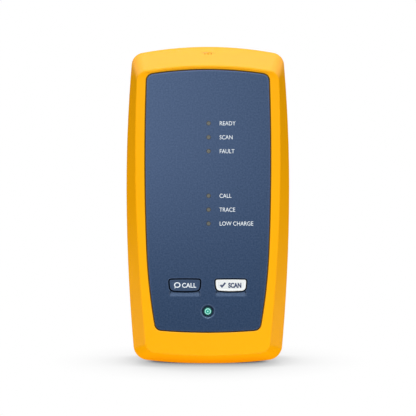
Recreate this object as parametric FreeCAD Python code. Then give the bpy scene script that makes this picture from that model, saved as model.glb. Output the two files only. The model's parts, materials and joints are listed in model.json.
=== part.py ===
import FreeCAD, Part
import math
import os
from dataclasses import dataclass, replace

# A handheld cable tester, standing on the flat of its lower end and facing -Y.
# X runs to the right as seen from the front, Y runs from front to back and Z is up.
# The origin is the middle of the foot, halfway through the depth. Lengths are in millimetres.

# Overall case
case_height = 259.7
case_half_width = 66.65
case_depth = 66.7
case_waist = 141.8
case_side_radius = 1189.0
case_lower_radius = 1519.0
case_top_radius = 299.0
case_bottom_radius = 434.0
case_top_corner = 10.0
case_bottom_corner = 12.2
foot_flat = 0.45

# Front bezel: a sloped surround that rises to a crest and dips again to the panel
bevel_top = 14.45
bevel_bottom = 9.0
bevel_side = 8.01
bevel_depth = 21.35
crest_waist = 171.0
crest_side_radius = 1681.0
crest_lower_radius = 1440.0
crest_top_radius = 296.0
crest_bottom_radius = 397.0
crest_top_corner = 9.0
crest_bottom_corner = 8.5
crest_rounding = 1.2
shoulder_rounding = 7.0
crest_land = 0.9
bezel_wall = 3.0

# Opening for the control panel
opening_strip_top = 2.65
opening_strip_bottom = 18.9
opening_half_width = 51.38
opening_waist = 165.2
opening_side_radius = 1846.0
opening_join = 96.7
opening_lower_radius = 471.0
opening_top_radius = 300.0
opening_bottom_radius = 460.0
opening_top_corner = 6.3
opening_bottom_corner = 6.0
opening_edge = 0.25
ledge_width = 2.8
ledge_thickness = 2.6

# Control panel
panel_gap = 0.75
panel_recess = 0.8
panel_thickness = 3.0
panel_edge = 0.8
panel_gasket_thickness = 0.4
panel_boss_height = 5.2
panel_boss_radius = 2.7
board_screw_radius = 0.9
board_screw_clearance = 0.05
board_screw_end_gap = 0.5
board_screw_head_radius = 1.9
board_screw_head = 1.3
board_screw_reach = 3.6
board_screw_side_inset = 11.0
board_screw_top_drop = 17.0
board_screw_bottom_rise = 15.0

# Indicator lamps
lamp_x = 0.6
lamp_top_drop = 43.9
lamp_pitch = 11.29
lamp_group_gap = 36.16
lamp_radius = 1.7
lamp_clearance = 0.15
lamp_flange_radius = 2.6
lamp_flange = 0.8
lamp_over_led = 0.15
led_width = 3.2
led_length = 1.6
led_height = 0.85

# Keys
key_spread = 18.73
key_half_width = 12.42
key_height = 9.44
key_bottom_rise = 34.29
key_top_radius = 400.0
key_bottom_radius = 110.0
key_side_radius = 48.0
key_top_corner = 1.3
key_bottom_corner = 3.2
key_gap = 1.1
key_proud = 0.2
key_rounding = 0.4
key_rim = 1.1
key_dish = 0.25
key_travel = 0.6
boot_rim = 0.6
boot_rim_drop = 0.9
boot_cup = 1.0
boot_flange = 1.2
boot_flange_lap = 0.9
boot_clearance = 0.1
plunger_radius = 1.6
plunger_clearance = 0.1
plunger_tip_gap = 0.3
switch_size = 6.0
switch_gap = 0.3
switch_floor = 1.0
ramp_height = 3.2
ramp_depth = 1.7
ramp_corner = 1.2
power_rise = 17.68
power_radius = 3.05
power_gap = 1.5
power_boot_rim = 1.1
power_dome = 0.6
power_countersink = 1.0

# Circuit boards
board_thickness = 1.6
ui_board_inset = 6.0
io_board_thickness = 1.4
io_board_boss_gap = 2.5
io_board_bottom = 95.0
io_board_top = 225.0
io_board_standoff = 0.8
io_tongue_half_width = 12.0
io_tongue_below_contacts = 6.0
io_ear_inset = 8.65
io_ear_margin = 1.0
ribbon_width = 20.0
ribbon_thickness = 0.3
ribbon_bend = 6.0
ribbon_io_height = 112.0
ribbon_drop = 28.0
ribbon_socket_height = 2.0
ribbon_socket_size = 4.0
ribbon_socket_margin = 2.0
shield_width = 44.0
shield_length = 34.0
shield_height = 3.5
shield_wall = 0.3
shield_bottom = 150.0

# Sounder under the top slope
sound_from_shoulder = 9.2
sound_recess_length = 12.0
sound_recess_width = 3.6
sound_recess_depth = 0.2
sound_hole_radius = 0.8
sound_hole_pitch = 2.55
sound_hole_count = 3
buzzer_radius = 6.0
buzzer_height = 4.0
buzzer_clearance = 0.15
buzzer_seat = 3.3
buzzer_collar = 1.25
sound_mesh_thickness = 0.3

# Rear case
rear_depth = 30.75
case_gasket_thickness = 0.6
case_gasket_inset = 0.9
case_gasket_width = 2.0
rear_step = 0.5
rear_wall = 2.5
rear_taper_side = 6.15
rear_taper_top = 7.7
rear_back_top_corner = 13.0
rear_back_bottom_corner = 14.0
rear_rounding = 2.5
module_seat_depth = 13.4
module_bottom = 86.0
module_gap = 0.4

# Screws that hold the two halves of the case together
case_screw_radius = 1.2
case_screw_pilot_clearance = 0.05
case_screw_clearance = 0.1
case_screw_head_radius = 2.8
case_screw_head = 1.8
case_screw_sink = 0.1
case_screw_reach = 28.0
case_boss_radius = 3.5
case_screw_side_inset = 13.65
case_screw_top_side_inset = 15.0
case_screw_port_drop = 13.0
case_screw_top_drop = 27.7
case_screw_low_x = 36.0
case_screw_low_z = 15.0

# Ports on the left wall
port_face_inset = 3.25
port_setback = 4.8
port_pocket_width = 8.0
port_pocket_margin = 6.8
port_clearance = 0.1
headset_rise = 16.0
headset_bore_radius = 1.8
headset_bore_depth = 13.4
headset_nose_radius = 2.6
headset_body_size = 6.4
usb_z = 156.0
usb_shell_width = 8.0
usb_shell_height = 2.9
usb_shell_wall = 0.4
usb_shell_depth = 5.5
usb_tongue_thickness = 0.6
usb_tongue_width = 4.0
usb_tongue_drop = 0.6
usb_body_depth = 3.5
charger_drop = 18.0
charger_bore_radius = 2.9
charger_bore_depth = 11.4
charger_nose_radius = 3.6
charger_body_size = 9.0
charger_pin_radius = 1.0
charger_pin_drop = 1.0
charger_pin_root_radius = 1.5
charger_pin_root = 2.0
jack_back_wall = 2.0
jack_inside_gap = 0.2

# Battery
bay_half_width = 45.0
bay_bottom = 7.0
bay_top_wall = 6.0
bay_corner = 5.0
bay_floor = 0.8
battery_clearance = 0.3
battery_rounding = 1.2
battery_groove_count = 6
battery_groove_pitch = 5.0
battery_groove_width = 2.0
battery_groove_corner = 0.9
battery_groove_depth = 0.7
battery_groove_length = 44.0
battery_groove_rise = 17.0
contact_count = 4
contact_pitch = 5.0
contact_width = 1.6
contact_length = 4.0
contact_slot_clearance = 0.3
contact_drop = 12.0

# Screws with broad slotted heads that stay on the battery and on the module
thumb_head_radius = 4.2
thumb_head = 3.4
thumb_slot_width = 1.2
thumb_slot_depth = 1.3
thumb_shank_radius = 1.6
thumb_clearance = 0.4
thumb_sink = 0.6
thumb_thread_clearance = 0.05
thumb_insert_depth = 6.0
thumb_boss_radius = 6.0
battery_screw_x = 38.0
battery_screw_top_drop = 8.0
module_screw_side_inset = 10.5
module_screw_rise = 14.0

# Test module on the back
module_tray_thickness = 2.2
module_tray_lip = 1.5
module_tray_lip_height = 1.5
module_fit = 0.15
module_wall = 2.2
module_high_cavity_margin = 8.0
module_board_seat = 2.3
module_board_inset = 8.0
module_board_bottom_rise = 24.0
module_board_top_drop = 12.0
module_post_radius = 2.5
module_post_inset = 6.0
module_shield_half_width = 34.0
module_shield_bottom = 112.0
module_shield_top = 172.0
module_shield_clearance = 0.9
module_socket_width = 40.0
module_socket_depth = 7.0
module_socket_z = 200.0
module_socket_drop = 0.4
module_socket_clearance = 0.1
module_plug_gap = 0.05
module_plug_margin = 1.0

# Socket for the link adapter, in the module's top wall
link_half_width = 15.8
link_depth = 8.0
link_wall = 1.3
link_length = 16.0
link_floor = 6.0
link_top_drop = 0.9
link_clearance = 0.1
link_contact_count = 8
link_contact_pitch = 3.2
link_contact_width = 1.2
link_contact_length = 2.4
link_contact_rise = 0.8

# Tilt stand on the module's back
stand_half_width = 37.6
stand_side_gap = 0.4
stand_length = 82.9
stand_tip_rise = 8.6
stand_thickness = 3.55
stand_back_drop = 0.3
stand_barrel_radius = 1.95
stand_floor_gap = 0.1
stand_top_gap = 0.6
stand_nail_slot = 3.6
stand_corner = 8.0
stand_pin_radius = 1.0
stand_pin_running = 0.06
stand_pin_seat_clearance = 0.02
stand_pin_hold = 4.0
stand_foot_half_width = 26.0
stand_foot_height = 2.0
stand_foot_inset = 0.4
stand_field_margin = 9.0
stand_field_depth = 0.7
stand_field_corner = 2.0
stand_rib_count = 5
stand_rib_width = 2.4

# Shared places, worked out from the sizes above
smallest_corner = 0.4
cut_margin = 1.0
plane_reach = 1e-4
mostly_along = 0.9
crest_y = -case_depth / 2
back_y = case_depth / 2
shoulder_y = crest_y + bevel_depth
rear_front_y = back_y - rear_depth
parting_y = rear_front_y - case_gasket_thickness
panel_front_y = crest_y + panel_recess
panel_back_y = panel_front_y + panel_thickness
ledge_y = panel_back_y + panel_gasket_thickness
front_wall_y = ledge_y + ledge_thickness
board_front_y = panel_back_y + panel_boss_height
board_back_y = board_front_y + board_thickness
module_seat = rear_front_y + module_seat_depth
port_y = rear_front_y + port_setback
floor_y = module_seat - rear_wall
bay_floor_y = module_seat + bay_floor
io_back_y = floor_y - io_board_standoff
io_front_y = io_back_y - io_board_thickness
io_screw_end = floor_y + rear_wall / 2
tray_front_y = module_seat
tray_back_y = tray_front_y + module_tray_thickness
module_board_front_y = tray_back_y + module_board_seat
module_board_back_y = module_board_front_y + board_thickness
boot_rim_y = panel_front_y + boot_rim_drop
cap_seat_y = boot_rim_y + boot_cup
flange_front_y = panel_back_y + boot_clearance
flange_back_y = flange_front_y + boot_flange
switch_front_y = flange_back_y + key_travel + switch_gap
plunger_tip_y = board_front_y - switch_floor - key_travel - plunger_tip_gap
stand_axis_y = back_y - stand_back_drop - stand_thickness / 2
stand_floor_y = stand_axis_y - stand_barrel_radius - stand_floor_gap
stand_tip_z = module_bottom + stand_tip_rise
stand_axis_z = stand_tip_z + stand_length
stand_recess_top = stand_axis_z + stand_barrel_radius + stand_top_gap
module_cavity_back = stand_floor_y - module_wall
module_high_cavity_bottom = stand_recess_top + module_high_cavity_margin
bay_top = module_bottom - bay_top_wall
contact_z = bay_top - contact_drop
io_tongue_bottom = contact_z - contact_length / 2 - io_tongue_below_contacts
headset_z = usb_z + headset_rise
charger_z = usb_z - charger_drop
case_screw_middle = charger_z - case_screw_port_drop
ribbon_ui_height = ribbon_io_height + ribbon_drop
rear_back_half_width = case_half_width - rear_taper_side
rear_back_top = case_height - rear_taper_top
port_face_x = -(case_half_width - port_face_inset)
thumb_head_y = back_y - thumb_sink
module_screw_x = rear_back_half_width - module_screw_side_inset
io_board_half_width = module_screw_x - case_boss_radius - io_board_boss_gap


def at(x, y, z):
    return FreeCAD.Vector(x, y, z)


@dataclass
class Outline:
    """A closed outline of tangent arcs seen from the front, symmetric about its own centre line."""
    top: float
    bottom: float
    half_width: float
    waist: float
    side_radius: float
    top_radius: float
    bottom_radius: float
    top_corner: float
    bottom_corner: float
    join: float = None
    lower_radius: float = None
    centre_x: float = 0.0
    inset: float = 0.0

    def inward(self, distance):
        return replace(self, inset=self.inset + distance)

    def outward(self, distance):
        return self.inward(-distance)

    def circles(self):
        """Centre and radius of the top, side, lower side and bottom arcs on the right-hand half."""
        join = self.waist if self.join is None else self.join
        lower_radius = self.side_radius if self.lower_radius is None else self.lower_radius
        top = (0.0, self.top - self.top_radius, self.top_radius)
        side = (self.half_width - self.side_radius, self.waist, self.side_radius)
        bottom = (0.0, self.bottom + self.bottom_radius, self.bottom_radius)
        rise = (join - self.waist) / self.side_radius
        reach = math.sqrt(1.0 - rise * rise)
        step = self.side_radius - lower_radius
        lower = (side[0] + step * reach, side[1] + step * rise, lower_radius)
        joint = (side[0] + (self.side_radius - self.inset) * reach,
                 side[1] + (self.side_radius - self.inset) * rise)
        arcs = [(x, z, radius - self.inset) for x, z, radius in (top, side, lower, bottom)]
        return arcs, joint

    def half_width_at(self, z):
        arcs, joint = self.circles()
        x, centre_z, radius = arcs[1] if z >= joint[1] else arcs[2]
        return x + math.sqrt(radius * radius - (z - centre_z) ** 2)

    def wire(self, y):
        arcs, joint = self.circles()
        top, side, lower, bottom = arcs
        corner_up = inner_fillet(top, side, max(self.top_corner - self.inset, smallest_corner), 1)
        corner_low = inner_fillet(lower, bottom, max(self.bottom_corner - self.inset, smallest_corner), -1)
        right = [(top, (0.0, top[1] + top[2]), corner_up[1]), (corner_up[0], corner_up[1], corner_up[2]),
                 (side, corner_up[2], joint), (lower, joint, corner_low[1]),
                 (corner_low[0], corner_low[1], corner_low[2]),
                 (bottom, corner_low[2], (0.0, bottom[1] - bottom[2]))]
        left = [(mirrored(circle), mirrored(end), mirrored(start)) for circle, start, end in reversed(right)]
        edges = [self.arc(circle, start, end, y) for circle, start, end in right + left]
        return Part.Wire(edges)

    def arc(self, circle, start, end, y):
        x, z, radius = circle
        across = ((start[0] + end[0]) / 2 - x, (start[1] + end[1]) / 2 - z)
        reach = radius / math.hypot(*across)
        middle = (x + across[0] * reach, z + across[1] * reach)
        points = [at(self.centre_x + point[0], y, point[1]) for point in (start, middle, end)]
        return Part.Arc(*points).toShape()


def mirrored(values):
    return (-values[0],) + tuple(values[1:])


def inner_fillet(first, second, radius, up):
    """The arc of that radius inside two circles, with the points where it touches them."""
    x1, z1, reach1 = first[0], first[1], first[2] - radius
    x2, z2, reach2 = second[0], second[1], second[2] - radius
    apart = math.hypot(x2 - x1, z2 - z1)
    along = (apart * apart + reach1 * reach1 - reach2 * reach2) / (2 * apart)
    aside = math.sqrt(reach1 * reach1 - along * along)
    ux, uz = (x2 - x1) / apart, (z2 - z1) / apart
    centres = [(x1 + ux * along - uz * aside * sign, z1 + uz * along + ux * aside * sign) for sign in (1, -1)]
    x, z = max(centres, key=lambda centre: (centre[0] > 0, up * centre[1]))
    touch1 = (x1 + (x - x1) * first[2] / reach1, z1 + (z - z1) * first[2] / reach1)
    touch2 = (x2 + (x - x2) * second[2] / reach2, z2 + (z - z2) * second[2] / reach2)
    return (x, z, radius), touch1, touch2


def slab(outline, y0, y1):
    return Part.Face(outline.wire(y0)).extrude(at(0, y1 - y0, 0))


def ring(outer, inner, y0, y1):
    return slab(outer, y0, y1).cut(slab(inner, y0 - cut_margin, y1 + cut_margin))


def bridge(*stations):
    """A solid with straight lines from each outline to the next."""
    return Part.makeLoft([outline.wire(y) for outline, y in stations], True, True)


def block(x0, x1, y0, y1, z0, z1):
    return Part.makeBox(x1 - x0, y1 - y0, z1 - z0, at(x0, y0, z0))


def plate(x0, x1, y0, y1, z0, z1, corner):
    """A block whose four edges along the depth are rounded."""
    body = block(x0, x1, y0, y1, z0, z1)
    return body.makeFillet(corner, edges_along_y(body))


def edges_along_y(shape):
    boxes = [(edge, edge.BoundBox) for edge in shape.Edges]
    return [edge for edge, box in boxes if box.YLength > box.DiagonalLength * mostly_along]


def rod(radius, start, end):
    return Part.makeCylinder(radius, start.distanceToPoint(end), start, end - start)


def post(radius, x, z, y0, y1):
    return rod(radius, at(x, y0, z), at(x, y1, z))


def edges_at(shape, y):
    """Edges that lie in the plane across the depth at y."""
    boxes = [(edge, edge.BoundBox) for edge in shape.Edges]
    return [edge for edge, box in boxes if max(abs(box.YMin - y), abs(box.YMax - y)) < plane_reach]


def above(z, y0, y1):
    """The space over height z, between two stations of the depth."""
    return block(-case_half_width * 2, case_half_width * 2, y0, y1, z, case_height * 2)


# Outlines
case_outline = Outline(case_height, -foot_flat, case_half_width, case_waist, case_side_radius,
                       case_top_radius, case_bottom_radius, case_top_corner, case_bottom_corner,
                       lower_radius=case_lower_radius)
crest_outline = Outline(case_height - bevel_top, bevel_bottom, case_half_width - bevel_side, crest_waist,
                        crest_side_radius, crest_top_radius, crest_bottom_radius, crest_top_corner,
                        crest_bottom_corner, lower_radius=crest_lower_radius)
opening_outline = Outline(crest_outline.top - opening_strip_top, crest_outline.bottom + opening_strip_bottom,
                          opening_half_width, opening_waist, opening_side_radius, opening_top_radius,
                          opening_bottom_radius, opening_top_corner, opening_bottom_corner,
                          opening_join, opening_lower_radius)
panel_outline = opening_outline.inward(panel_gap)
ui_board_outline = panel_outline.inward(ui_board_inset)
rear_front_outline = replace(case_outline, top=case_height - rear_step,
                             half_width=case_half_width - rear_step)
rear_back_outline = replace(case_outline, top=rear_back_top, half_width=rear_back_half_width,
                            top_corner=rear_back_top_corner, bottom_corner=rear_back_bottom_corner)
opening_bottom = opening_outline.bottom
opening_top = opening_outline.top
power_z = opening_bottom + power_rise
key_bottom = opening_bottom + key_bottom_rise
key_middle = key_bottom + key_height / 2
lamp_first_z = opening_top - lamp_top_drop


def key_outline(centre_x):
    key_top = key_bottom + key_height
    return Outline(key_top, key_bottom, key_half_width, key_top, key_side_radius, key_top_radius,
                   key_bottom_radius, key_top_corner, key_bottom_corner, key_middle, key_side_radius,
                   centre_x)


def lamp_heights():
    upper = [lamp_first_z - lamp_pitch * i for i in range(3)]
    lower = [upper[-1] - lamp_group_gap - lamp_pitch * i for i in range(3)]
    return upper + lower


def case_screw_places():
    """X, height and head seat of each screw between the two halves of the case."""
    side = case_half_width - case_screw_side_inset
    top_side = case_half_width - case_screw_top_side_inset
    upper = [(side, case_screw_middle), (top_side, case_height - case_screw_top_drop)]
    places = [(sign * x, z, module_seat) for x, z in upper for sign in (-1, 1)]
    return places + [(sign * case_screw_low_x, case_screw_low_z, bay_floor_y) for sign in (-1, 1)]


def board_screw_places():
    side = opening_half_width - board_screw_side_inset
    low_z = opening_bottom + board_screw_bottom_rise
    low_side = panel_outline.half_width_at(low_z) - board_screw_side_inset
    top_z = opening_top - board_screw_top_drop
    return [(sign * x, z) for x, z in ((side, top_z), (low_side, low_z)) for sign in (-1, 1)]


def module_screw_places():
    return [(sign * module_screw_x, module_bottom + module_screw_rise) for sign in (-1, 1)]


def battery_screw_places():
    return [(sign * battery_screw_x, bay_top - battery_screw_top_drop) for sign in (-1, 1)]


# Sounder: a tilted place on the middle of the top slope
def sound_place():
    shoulder = at(0, shoulder_y, case_height)
    along = at(0, crest_y, crest_outline.top) - shoulder
    along.normalize()
    outward = at(0, along.z, -along.y)
    return FreeCAD.Placement(shoulder + along * sound_from_shoulder, FreeCAD.Rotation(at(0, 0, 1), outward))


def tilted(shape):
    """Moves a shape made about the Z axis onto the top slope, with Z pointing out of it."""
    moved = shape.copy()
    moved.Placement = sound_place().multiply(moved.Placement)
    return moved


def sound_disc(radius, depth0, depth1):
    return tilted(rod(radius, at(0, 0, -depth1), at(0, 0, -depth0)))


def sound_cuts():
    half = (sound_recess_length - sound_recess_width) / 2
    radius = sound_recess_width / 2
    low = -sound_recess_depth
    ends = [rod(radius, at(x, 0, low), at(x, 0, cut_margin)) for x in (-half, half)]
    middle = Part.makeBox(2 * half, 2 * radius, cut_margin - low, at(-half, -radius, low))
    first = -(sound_hole_count - 1) / 2
    places = [(first + i) * sound_hole_pitch for i in range(sound_hole_count)]
    deep = -buzzer_seat - cut_margin
    holes = [rod(sound_hole_radius, at(x, 0, deep), at(x, 0, cut_margin)) for x in places]
    return [tilted(shape) for shape in ends + [middle] + holes]


def front_bezel():
    body = bridge((crest_outline, crest_y), (case_outline, shoulder_y), (case_outline, parting_y))
    body = body.makeFillet(shoulder_rounding, edges_at(body, shoulder_y))
    body = body.makeFillet(crest_rounding, edges_at(body, crest_y))
    dish = bridge((crest_outline.inward(crest_land), crest_y), (opening_outline, panel_front_y))
    share = (front_wall_y - crest_y) / bevel_depth
    front_inside = blend(crest_outline, case_outline, share).inward(bezel_wall)
    inside = case_outline.inward(bezel_wall)
    cavity = bridge((front_inside, front_wall_y), (inside, shoulder_y), (inside, parting_y + cut_margin))
    body = body.cut(dish)
    body = body.cut(slab(opening_outline, panel_front_y - cut_margin, ledge_y))
    wide_opening = opening_outline.outward(opening_edge + cut_margin)
    body = body.cut(bridge((wide_opening, panel_front_y - cut_margin),
                           (opening_outline, panel_front_y + opening_edge)))
    body = body.cut(slab(panel_outline.inward(ledge_width), ledge_y - cut_margin, front_wall_y + cut_margin))
    body = body.cut(cavity)
    bosses = [post(case_boss_radius, x, z, front_wall_y - cut_margin, parting_y)
              for x, z, _ in case_screw_places()]
    seat_radius = buzzer_radius + buzzer_clearance
    seat_end = buzzer_seat + buzzer_height
    collar = sound_disc(seat_radius + buzzer_collar, buzzer_seat - buzzer_collar, seat_end)
    body = body.fuse(bosses + [collar])
    pilot = case_screw_radius + case_screw_pilot_clearance
    pilots = [post(pilot, x, z, seat - case_screw_reach - cut_margin, parting_y + cut_margin)
              for x, z, seat in case_screw_places()]
    seat_cut = sound_disc(seat_radius, buzzer_seat, seat_end + cut_margin)
    body = body.cut(pilots + [seat_cut] + sound_cuts())
    body = body.cut(under_foot())
    return body.removeSplitter()


def blend(first, second, share):
    """The outline that lies that share of the way from one outline to another."""
    fields = ("top", "bottom", "half_width", "waist", "side_radius", "lower_radius", "top_radius",
              "bottom_radius", "top_corner", "bottom_corner", "inset")
    pairs = [(name, getattr(first, name), getattr(second, name)) for name in fields]
    return Outline(**{name: start + share * (end - start) for name, start, end in pairs})


def under_foot():
    """The space below the floor, which flattens the curved lower end into a foot."""
    reach = 2 * case_half_width
    return block(-reach, reach, 2 * crest_y, 2 * back_y, -case_height, 0)


def control_panel():
    body = slab(panel_outline, panel_front_y, panel_back_y)
    body = body.makeFillet(panel_edge, edges_at(body, panel_front_y))
    bosses = [post(panel_boss_radius, x, z, panel_back_y - cut_margin, board_front_y)
              for x, z in board_screw_places()]
    body = body.fuse(bosses)
    pilot_y = board_front_y - board_screw_reach - board_screw_end_gap
    cuts = [post(board_screw_radius, x, z, pilot_y, board_front_y + cut_margin)
            for x, z in board_screw_places()]
    front, back = panel_front_y - cut_margin, panel_back_y + cut_margin
    cuts += [post(lamp_radius + lamp_clearance, lamp_x, z, front, back) for z in lamp_heights()]
    for centre_x in (-key_spread, key_spread):
        cuts.append(slab(key_outline(centre_x).outward(key_gap), front, back))
        cuts.append(key_ramp(centre_x))
    hole_radius = power_radius + power_gap
    rise = power_countersink + cut_margin
    cuts.append(post(hole_radius, 0, power_z, front, back))
    cuts.append(Part.makeCone(hole_radius + rise, hole_radius, rise, at(0, front, power_z), at(0, 1, 0)))
    return body.cut(cuts)


def key_ramp(centre_x):
    """The sloping scoop under a key, deepest along the key's lower edge."""
    deep = key_bottom - key_gap
    low, high = deep - ramp_height, deep + key_rim
    front, floor = panel_front_y - cut_margin, panel_front_y + ramp_depth
    points = [at(0, panel_front_y, low), at(0, floor, deep), at(0, floor, high), at(0, front, high),
              at(0, front, low)]
    half = key_half_width
    profile = Part.Face(Part.makePolygon(points + points[:1]))
    wedge = profile.extrude(at(2 * half, 0, 0))
    wedge.translate(at(centre_x - half, 0, 0))
    bound = plate(centre_x - half, centre_x + half, panel_front_y - 2 * cut_margin, panel_back_y,
                  low, high + key_height, ramp_corner)
    return wedge.common(bound)


def panel_gasket():
    return ring(panel_outline, panel_outline.inward(ledge_width), panel_back_y, ledge_y)


def lens(z):
    """A clear light pipe: a flush lens, a flange behind the panel and a stem down to its lamp."""
    face = post(lamp_radius, lamp_x, z, panel_front_y, panel_back_y)
    flange = post(lamp_flange_radius, lamp_x, z, panel_back_y, panel_back_y + lamp_flange)
    stem = post(lamp_radius, lamp_x, z, panel_back_y, board_front_y - led_height - lamp_over_led)
    return face.fuse([flange, stem]).removeSplitter()


def led(z):
    return block(lamp_x - led_length / 2, lamp_x + led_length / 2, board_front_y - led_height, board_front_y,
                 z - led_width / 2, z + led_width / 2)


def keycap(centre_x):
    outline = key_outline(centre_x)
    front = panel_front_y - key_proud
    body = slab(outline, front, cap_seat_y)
    body = body.makeFillet(key_rounding, edges_at(body, front))
    dish = bridge((outline.inward(key_rim), front), (outline.inward(key_rim + key_dish), front + key_dish))
    return body.cut(dish)


def key_boot(centre_x):
    """A soft cup round the cap, with a flange that the panel holds back."""
    outline = key_outline(centre_x)
    cup = slab(outline.outward(boot_rim), boot_rim_y, flange_front_y)
    flange = slab(outline.outward(key_gap + boot_flange_lap), flange_front_y, flange_back_y)
    return cup.fuse(flange).cut(slab(outline, boot_rim_y - cut_margin, cap_seat_y)).removeSplitter()


def power_keycap():
    """A small round key with a domed face."""
    front = panel_front_y - key_proud
    dome_radius = (power_radius ** 2 + power_dome ** 2) / (2 * power_dome)
    body = post(power_radius, 0, power_z, front, cap_seat_y)
    return body.common(Part.makeSphere(dome_radius, at(0, front + dome_radius, power_z)))


def power_boot():
    cup = post(power_radius + power_boot_rim, 0, power_z, boot_rim_y, flange_front_y)
    flange = post(power_radius + power_gap + boot_flange_lap, 0, power_z, flange_front_y, flange_back_y)
    pocket = post(power_radius, 0, power_z, boot_rim_y - cut_margin, cap_seat_y)
    return cup.fuse(flange).cut(pocket).removeSplitter()


def plunger(x, z):
    return post(plunger_radius, x, z, flange_back_y, plunger_tip_y)


def switch(x, z):
    half = switch_size / 2
    body = block(x - half, x + half, switch_front_y, board_front_y, z - half, z + half)
    bore = plunger_radius + plunger_clearance
    return body.cut(post(bore, x, z, switch_front_y - cut_margin, board_front_y - switch_floor))


def ui_board():
    board = slab(ui_board_outline, board_front_y, board_back_y)
    hole = board_screw_radius + board_screw_clearance
    return board.cut([post(hole, x, z, board_front_y - cut_margin, board_back_y + cut_margin)
                      for x, z in board_screw_places()])


def board_screws():
    screws = []
    radius = board_screw_radius - board_screw_clearance
    for x, z in board_screw_places():
        shank = post(radius, x, z, board_front_y - board_screw_reach, board_back_y)
        head = post(board_screw_head_radius, x, z, board_back_y, board_back_y + board_screw_head)
        screws.append(shank.fuse(head).removeSplitter())
    return Part.makeCompound(screws)


def ribbon_socket(y0, y1, z):
    half = ribbon_width / 2 + ribbon_socket_margin
    return block(-half, half, y0, y1, z - ribbon_socket_size / 2, z + ribbon_socket_size / 2)


def ribbon_cable():
    """A flat cable with two quarter bends between the two boards."""
    start_y = board_back_y + ribbon_socket_height
    end_y = io_front_y - ribbon_socket_height
    middle_y = (start_y + end_y) / 2
    top_z, low_z = ribbon_ui_height, ribbon_io_height
    bend = ribbon_bend
    corner = bend * (1 - math.sqrt(0.5))
    upper = [at(0, middle_y - bend, top_z), at(0, middle_y - corner, top_z - corner),
             at(0, middle_y, top_z - bend)]
    lower = [at(0, middle_y, low_z + bend), at(0, middle_y + corner, low_z + corner),
             at(0, middle_y + bend, low_z)]
    runs = [Part.LineSegment(at(0, start_y, top_z), upper[0]), Part.Arc(*upper),
            Part.LineSegment(upper[2], lower[0]), Part.Arc(*lower),
            Part.LineSegment(lower[2], at(0, end_y, low_z))]
    path = Part.Wire([run.toShape() for run in runs])
    half, thin = ribbon_width / 2, ribbon_thickness / 2
    corners = ((-half, -thin), (half, -thin), (half, thin), (-half, thin), (-half, -thin))
    section = Part.makePolygon([at(x, start_y, top_z + z) for x, z in corners])
    return path.makePipeShell([section], True, False)


def sound_mesh():
    return sound_disc(buzzer_radius, buzzer_seat, buzzer_seat + sound_mesh_thickness)


def buzzer():
    front = buzzer_seat + sound_mesh_thickness
    return sound_disc(buzzer_radius, front, front + buzzer_height)


def case_gasket():
    outer = case_outline.inward(case_gasket_inset)
    seal = ring(outer, outer.inward(case_gasket_width), parting_y, rear_front_y)
    return seal.cut(under_foot())


def rear_shape():
    """The back of the tester as one form, from the parting line to the rounded rear edge."""
    body = bridge((rear_front_outline, rear_front_y), (rear_back_outline, back_y))
    body = body.makeFillet(rear_rounding, edges_at(body, back_y))
    return body.cut(under_foot())


def rear_section(y):
    share = (y - rear_front_y) / (back_y - rear_front_y)
    return blend(rear_front_outline, rear_back_outline, share)


def rear_case():
    body = rear_shape().cut(above(module_bottom, module_seat, back_y + cut_margin))
    mouth = rear_front_outline.inward(rear_wall)
    body = body.cut(bridge((mouth, rear_front_y), (rear_section(floor_y).inward(rear_wall), floor_y)))
    thumb_places = module_screw_places() + battery_screw_places()
    insert_y = floor_y - thumb_insert_depth
    inner = floor_y + cut_margin
    bosses = [post(case_boss_radius, x, z, rear_front_y, inner) for x, z, _ in case_screw_places()]
    bosses += [post(case_boss_radius, x, z, insert_y, inner) for x, z in thumb_places]
    bosses += [post(case_boss_radius, x, z, io_back_y, inner) for x, z in io_screw_places()]
    body = body.fuse(bosses)
    outer = bay_floor_y + cut_margin
    half = bay_half_width
    cuts = [plate(-half, half, bay_floor_y, back_y + cut_margin, bay_bottom, bay_top, bay_corner)]
    shank = case_screw_radius + case_screw_clearance
    head = case_screw_head_radius + case_screw_clearance
    for x, z, seat in case_screw_places():
        head_y = seat - case_screw_head - case_screw_sink
        cuts.append(post(shank, x, z, rear_front_y - cut_margin, seat + cut_margin))
        cuts.append(post(head, x, z, head_y, seat + cut_margin))
    bore = thumb_shank_radius + thumb_thread_clearance
    cuts += [post(bore, x, z, insert_y - cut_margin, outer) for x, z in thumb_places]
    cuts += [post(board_screw_radius, x, z, io_back_y - cut_margin, io_screw_end)
             for x, z in io_screw_places()]
    cuts.append(socket_block(module_socket_clearance, floor_y - cut_margin, module_seat + cut_margin))
    cuts += [contact_block(x, contact_slot_clearance, floor_y - cut_margin, outer) for x in contact_places()]
    return body.cut(cuts + port_cuts()).removeSplitter()


def port_cuts():
    """The shallow pocket on the left wall and the holes that the sockets look out of."""
    outside = -2 * case_half_width
    half = port_pocket_width / 2
    low = charger_z - port_pocket_margin + half
    high = headset_z + port_pocket_margin - half
    inside = port_face_x + 2 * rear_wall
    cuts = [block(outside, port_face_x, port_y - half, port_y + half, low, high)]
    cuts += [rod(half, at(outside, port_y, z), at(port_face_x, port_y, z)) for z in (low, high)]
    for z, radius in ((headset_z, headset_nose_radius), (charger_z, charger_nose_radius)):
        cuts.append(rod(radius + port_clearance, at(outside, port_y, z), at(inside, port_y, z)))
    wide = usb_shell_width / 2 + port_clearance
    deep = usb_shell_height / 2 + port_clearance
    cuts.append(block(outside, inside, port_y - deep, port_y + deep, usb_z - wide, usb_z + wide))
    return cuts


def io_screw_places():
    side = io_board_half_width - case_boss_radius
    heights = (io_board_bottom + case_boss_radius, io_board_top - case_boss_radius)
    return [(sign * side, z) for z in heights for sign in (-1, 1)]


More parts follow.
